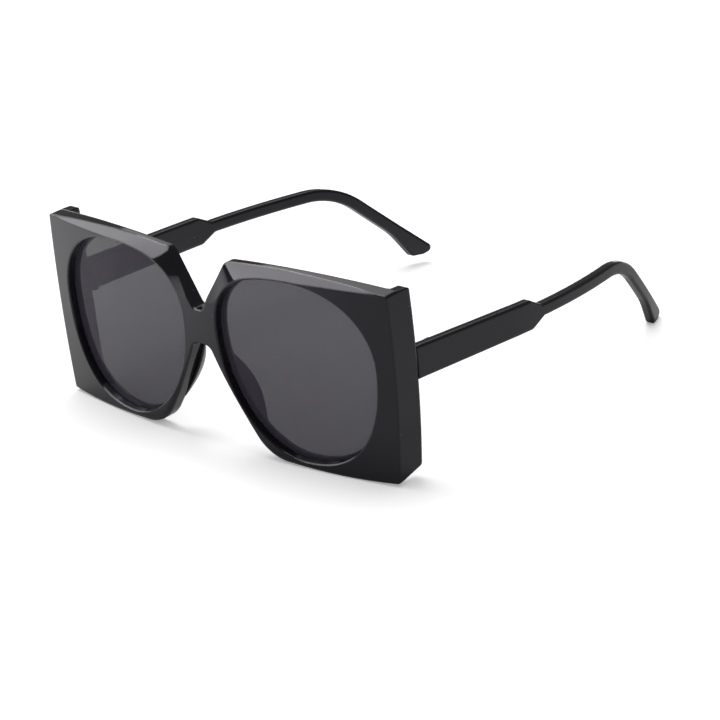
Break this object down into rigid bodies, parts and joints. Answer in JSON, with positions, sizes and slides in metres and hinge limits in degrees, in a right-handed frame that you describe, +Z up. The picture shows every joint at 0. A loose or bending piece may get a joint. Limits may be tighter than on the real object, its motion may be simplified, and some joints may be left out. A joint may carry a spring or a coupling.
{
  "type": "oversized sunglasses",
  "caption": "Oversized square sunglasses with a notched, bevelled brow, tinted lenses, deep side panels and temples that fold on screw-pinned hinges.",
  "frame": {"origin": "on the table under the middle of the open sunglasses", "axes": "+X to the wearer's left, +Y back along the temples, +Z up from the table"},
  "size_m": [0.1437, 0.1658, 0.0623],
  "materials": {
    "frame_plastic": "polished black",
    "tinted_lens": "polished, grey-violet tint",
    "hinge_steel": "satin"
  },
  "bodies": {
    "front": {"front_frame": "frame_plastic", "lens_left": "tinted_lens", "nose_pad_left": "frame_plastic", "front_hinge_left": "hinge_steel", "front_hinge_rivets_left": "hinge_steel", "hinge_screw_left": "hinge_steel", "lens_right": "tinted_lens", "nose_pad_right": "frame_plastic", "front_hinge_right": "hinge_steel", "front_hinge_rivets_right": "hinge_steel", "hinge_screw_right": "hinge_steel"},
    "temple_left_body": {"temple_left": "frame_plastic", "temple_hinge_left": "hinge_steel", "temple_hinge_rivets_left": "hinge_steel", "temple_core_left": "hinge_steel"},
    "temple_right_body": {"temple_right": "frame_plastic", "temple_hinge_right": "hinge_steel", "temple_hinge_rivets_right": "hinge_steel", "temple_core_right": "hinge_steel"}
  },
  "joints": [
    {"name": "temple_left_fold", "type": "hinge", "parent": "front", "child": "temple_left_body", "pos_m": [0.06498, -0.06499, 0.03731], "axis": [0, -0.0488, 0.9988], "range_deg": [0, 82]},
    {"name": "temple_right_fold", "type": "hinge", "parent": "front", "child": "temple_right_body", "pos_m": [-0.06498, -0.06499, 0.03731], "axis": [0, 0.0488, -0.9988], "range_deg": [0, 69]}
  ]
}
